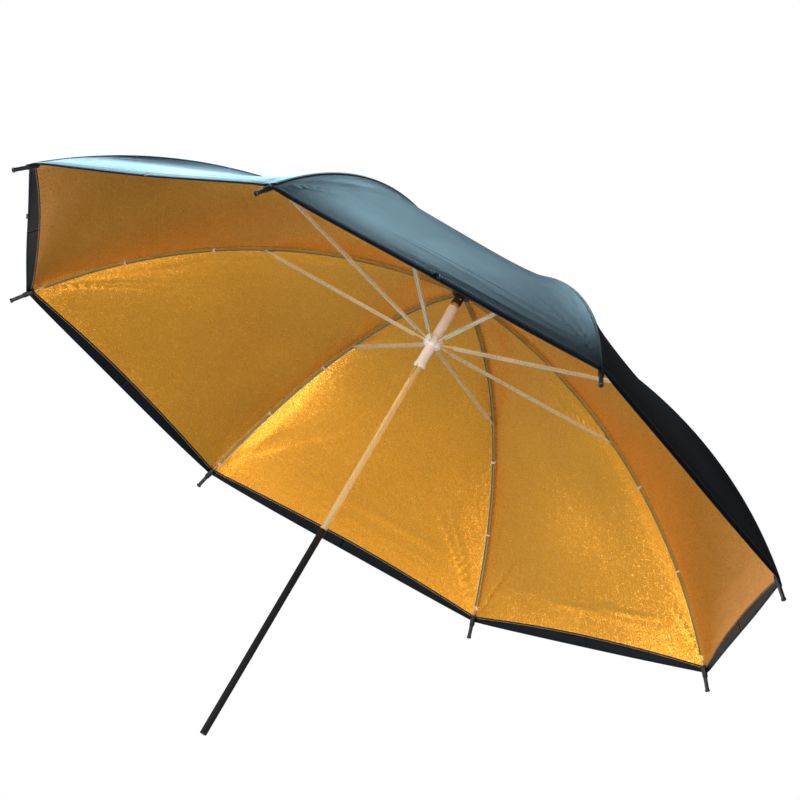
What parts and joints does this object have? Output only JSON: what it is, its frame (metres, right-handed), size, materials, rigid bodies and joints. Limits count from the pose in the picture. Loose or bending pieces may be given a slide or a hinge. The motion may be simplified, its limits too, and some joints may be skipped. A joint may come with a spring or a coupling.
{
  "type": "studio umbrella reflector",
  "caption": "Folding photographic umbrella with a gold reflective inside, black outside, channel ribs and stretchers, and a sliding runner on a straight shaft.",
  "frame": {"origin": "centre of the end face of the shaft's free end", "axes": "+Z along the shaft towards the crown; +X through rib 1; ribs numbered clockwise seen from the crown"},
  "size_m": [1.0302, 1.0302, 0.6146],
  "materials": {
    "black_finish": "gloss",
    "shaft_metal": "polished",
    "steel": "satin",
    "rib_metal": "satin",
    "stretcher_metal": "satin",
    "black_plastic": "satin",
    "white_plastic": "satin",
    "fabric": "metallic gold inside, black outside"
  },
  "bodies": {
    "shaft": {"shaft_grip": "black_finish", "shaft_tube": "shaft_metal", "shaft_plug": "black_plastic", "crown": "black_plastic", "rib_pins": "steel", "crown_pin": "steel", "canopy_washer": "black_plastic", "top_cap": "black_plastic", "catch_spring": "steel"},
    "catch": {"catch": "steel"},
    "runner": {"runner": "white_plastic"},
    "rib_inner_1": {"rib_inner_1": "rib_metal", "canopy_inner_1": "fabric"},
    "rib_outer_1": {"rib_outer_1": "rib_metal", "rib_tip_1": "black_plastic", "canopy_outer_1": "fabric"},
    "stretcher_1": {"stretcher_1": "stretcher_metal"},
    "rib_inner_2": {"rib_inner_2": "rib_metal", "canopy_inner_2": "fabric"},
    "rib_outer_2": {"rib_outer_2": "rib_metal", "rib_tip_2": "black_plastic", "canopy_outer_2": "fabric"},
    "stretcher_2": {"stretcher_2": "stretcher_metal"},
    "rib_inner_3": {"rib_inner_3": "rib_metal", "canopy_inner_3": "fabric"},
    "rib_outer_3": {"rib_outer_3": "rib_metal", "rib_tip_3": "black_plastic", "canopy_outer_3": "fabric"},
    "stretcher_3": {"stretcher_3": "stretcher_metal"},
    "rib_inner_4": {"rib_inner_4": "rib_metal", "canopy_inner_4": "fabric"},
    "rib_outer_4": {"rib_outer_4": "rib_metal", "rib_tip_4": "black_plastic", "canopy_outer_4": "fabric"},
    "stretcher_4": {"stretcher_4": "stretcher_metal"},
    "rib_inner_5": {"rib_inner_5": "rib_metal", "canopy_inner_5": "fabric"},
    "rib_outer_5": {"rib_outer_5": "rib_metal", "rib_tip_5": "black_plastic", "canopy_outer_5": "fabric"},
    "stretcher_5": {"stretcher_5": "stretcher_metal"},
    "rib_inner_6": {"rib_inner_6": "rib_metal", "canopy_inner_6": "fabric"},
    "rib_outer_6": {"rib_outer_6": "rib_metal", "rib_tip_6": "black_plastic", "canopy_outer_6": "fabric"},
    "stretcher_6": {"stretcher_6": "stretcher_metal"},
    "rib_inner_7": {"rib_inner_7": "rib_metal", "canopy_inner_7": "fabric"},
    "rib_outer_7": {"rib_outer_7": "rib_metal", "rib_tip_7": "black_plastic", "canopy_outer_7": "fabric"},
    "stretcher_7": {"stretcher_7": "stretcher_metal"},
    "rib_inner_8": {"rib_inner_8": "rib_metal", "canopy_inner_8": "fabric"},
    "rib_outer_8": {"rib_outer_8": "rib_metal", "rib_tip_8": "black_plastic", "canopy_outer_8": "fabric"},
    "stretcher_8": {"stretcher_8": "stretcher_metal"}
  },
  "joints": [
    {"name": "runner_slide", "type": "slide", "parent": "shaft", "child": "runner", "axis": [0, 0, -1], "range_m": [0, 0.42187], "deforming": ["canopy_inner_1", "canopy_inner_2", "canopy_inner_3", "canopy_inner_4", "canopy_inner_5", "canopy_inner_6", "canopy_inner_7", "canopy_inner_8", "canopy_outer_1", "canopy_outer_2", "canopy_outer_3", "canopy_outer_4", "canopy_outer_5", "canopy_outer_6", "canopy_outer_7", "canopy_outer_8"]},
    {"name": "catch_press", "type": "slide", "parent": "shaft", "child": "catch", "axis": [-0.9239, -0.3827, 0], "range_m": [0, 0.0014], "stiffness_N_per_m": 600, "deforming": ["catch_spring"]},
    {"name": "rib_hinge_1", "type": "hinge", "parent": "shaft", "child": "rib_inner_1", "pos_m": [0.008, 0, 0.59975], "axis": [0, 1, 0], "range_deg": [0, 79.03]},
    {"name": "rib_flex_1", "type": "hinge", "parent": "rib_inner_1", "child": "rib_outer_1", "pos_m": [0.2525, 0, 0.56767], "axis": [0, 1, 0], "range_deg": [-22, 0]},
    {"name": "stretcher_hinge_1", "type": "hinge", "parent": "rib_inner_1", "child": "stretcher_1", "pos_m": [0.2525, 0, 0.56767], "axis": [0, 1, 0], "range_deg": [-157.26, 0]},
    {"name": "rib_hinge_2", "type": "hinge", "parent": "shaft", "child": "rib_inner_2", "pos_m": [0.00566, -0.00566, 0.59975], "axis": [0.7071, 0.7071, 0], "range_deg": [0, 79.03]},
    {"name": "rib_flex_2", "type": "hinge", "parent": "rib_inner_2", "child": "rib_outer_2", "pos_m": [0.17854, -0.17854, 0.56767], "axis": [0.7071, 0.7071, 0], "range_deg": [-22, 0]},
    {"name": "stretcher_hinge_2", "type": "hinge", "parent": "rib_inner_2", "child": "stretcher_2", "pos_m": [0.17854, -0.17854, 0.56767], "axis": [0.7071, 0.7071, 0], "range_deg": [-157.26, 0]},
    {"name": "rib_hinge_3", "type": "hinge", "parent": "shaft", "child": "rib_inner_3", "pos_m": [0, -0.008, 0.59975], "axis": [1, 0, 0], "range_deg": [0, 79.03]},
    {"name": "rib_flex_3", "type": "hinge", "parent": "rib_inner_3", "child": "rib_outer_3", "pos_m": [0, -0.2525, 0.56767], "axis": [1, 0, 0], "range_deg": [-22, 0]},
    {"name": "stretcher_hinge_3", "type": "hinge", "parent": "rib_inner_3", "child": "stretcher_3", "pos_m": [0, -0.2525, 0.56767], "axis": [1, 0, 0], "range_deg": [-157.26, 0]},
    {"name": "rib_hinge_4", "type": "hinge", "parent": "shaft", "child": "rib_inner_4", "pos_m": [-0.00566, -0.00566, 0.59975], "axis": [0.7071, -0.7071, 0], "range_deg": [0, 79.03]},
    {"name": "rib_flex_4", "type": "hinge", "parent": "rib_inner_4", "child": "rib_outer_4", "pos_m": [-0.17854, -0.17854, 0.56767], "axis": [0.7071, -0.7071, 0], "range_deg": [-22, 0]},
    {"name": "stretcher_hinge_4", "type": "hinge", "parent": "rib_inner_4", "child": "stretcher_4", "pos_m": [-0.17854, -0.17854, 0.56767], "axis": [0.7071, -0.7071, 0], "range_deg": [-157.26, 0]},
    {"name": "rib_hinge_5", "type": "hinge", "parent": "shaft", "child": "rib_inner_5", "pos_m": [-0.008, 0, 0.59975], "axis": [0, -1, 0], "range_deg": [0, 79.03]},
    {"name": "rib_flex_5", "type": "hinge", "parent": "rib_inner_5", "child": "rib_outer_5", "pos_m": [-0.2525, 0, 0.56767], "axis": [0, -1, 0], "range_deg": [-22, 0]},
    {"name": "stretcher_hinge_5", "type": "hinge", "parent": "rib_inner_5", "child": "stretcher_5", "pos_m": [-0.2525, 0, 0.56767], "axis": [0, -1, 0], "range_deg": [-157.26, 0]},
    {"name": "rib_hinge_6", "type": "hinge", "parent": "shaft", "child": "rib_inner_6", "pos_m": [-0.00566, 0.00566, 0.59975], "axis": [-0.7071, -0.7071, 0], "range_deg": [0, 79.03]},
    {"name": "rib_flex_6", "type": "hinge", "parent": "rib_inner_6", "child": "rib_outer_6", "pos_m": [-0.17854, 0.17854, 0.56767], "axis": [-0.7071, -0.7071, 0], "range_deg": [-22, 0]},
    {"name": "stretcher_hinge_6", "type": "hinge", "parent": "rib_inner_6", "child": "stretcher_6", "pos_m": [-0.17854, 0.17854, 0.56767], "axis": [-0.7071, -0.7071, 0], "range_deg": [-157.26, 0]},
    {"name": "rib_hinge_7", "type": "hinge", "parent": "shaft", "child": "rib_inner_7", "pos_m": [0, 0.008, 0.59975], "axis": [-1, 0, 0], "range_deg": [0, 79.03]},
    {"name": "rib_flex_7", "type": "hinge", "parent": "rib_inner_7", "child": "rib_outer_7", "pos_m": [0, 0.2525, 0.56767], "axis": [-1, 0, 0], "range_deg": [-22, 0]},
    {"name": "stretcher_hinge_7", "type": "hinge", "parent": "rib_inner_7", "child": "stretcher_7", "pos_m": [0, 0.2525, 0.56767], "axis": [-1, 0, 0], "range_deg": [-157.26, 0]},
    {"name": "rib_hinge_8", "type": "hinge", "parent": "shaft", "child": "rib_inner_8", "pos_m": [0.00566, 0.00566, 0.59975], "axis": [-0.7071, 0.7071, 0], "range_deg": [0, 79.03]},
    {"name": "rib_flex_8", "type": "hinge", "parent": "rib_inner_8", "child": "rib_outer_8", "pos_m": [0.17854, 0.17854, 0.56767], "axis": [-0.7071, 0.7071, 0], "range_deg": [-22, 0]},
    {"name": "stretcher_hinge_8", "type": "hinge", "parent": "rib_inner_8", "child": "stretcher_8", "pos_m": [0.17854, 0.17854, 0.56767], "axis": [-0.7071, 0.7071, 0], "range_deg": [-157.26, 0]}
  ],
  "couplings": [
    {"joint": "rib_hinge_1", "follows": "runner_slide", "rad_per_m": 3.2694},
    {"joint": "rib_flex_1", "follows": "runner_slide", "rad_per_m": -0.91017},
    {"joint": "stretcher_hinge_1", "follows": "runner_slide", "rad_per_m": -6.5061},
    {"joint": "rib_hinge_2", "follows": "runner_slide", "rad_per_m": 3.2694},
    {"joint": "rib_flex_2", "follows": "runner_slide", "rad_per_m": -0.91017},
    {"joint": "stretcher_hinge_2", "follows": "runner_slide", "rad_per_m": -6.5061},
    {"joint": "rib_hinge_3", "follows": "runner_slide", "rad_per_m": 3.2694},
    {"joint": "rib_flex_3", "follows": "runner_slide", "rad_per_m": -0.91017},
    {"joint": "stretcher_hinge_3", "follows": "runner_slide", "rad_per_m": -6.5061},
    {"joint": "rib_hinge_4", "follows": "runner_slide", "rad_per_m": 3.2694},
    {"joint": "rib_flex_4", "follows": "runner_slide", "rad_per_m": -0.91017},
    {"joint": "stretcher_hinge_4", "follows": "runner_slide", "rad_per_m": -6.5061},
    {"joint": "rib_hinge_5", "follows": "runner_slide", "rad_per_m": 3.2694},
    {"joint": "rib_flex_5", "follows": "runner_slide", "rad_per_m": -0.91017},
    {"joint": "stretcher_hinge_5", "follows": "runner_slide", "rad_per_m": -6.5061},
    {"joint": "rib_hinge_6", "follows": "runner_slide", "rad_per_m": 3.2694},
    {"joint": "rib_flex_6", "follows": "runner_slide", "rad_per_m": -0.91017},
    {"joint": "stretcher_hinge_6", "follows": "runner_slide", "rad_per_m": -6.5061},
    {"joint": "rib_hinge_7", "follows": "runner_slide", "rad_per_m": 3.2694},
    {"joint": "rib_flex_7", "follows": "runner_slide", "rad_per_m": -0.91017},
    {"joint": "stretcher_hinge_7", "follows": "runner_slide", "rad_per_m": -6.5061},
    {"joint": "rib_hinge_8", "follows": "runner_slide", "rad_per_m": 3.2694},
    {"joint": "rib_flex_8", "follows": "runner_slide", "rad_per_m": -0.91017},
    {"joint": "stretcher_hinge_8", "follows": "runner_slide", "rad_per_m": -6.5061}
  ]
}
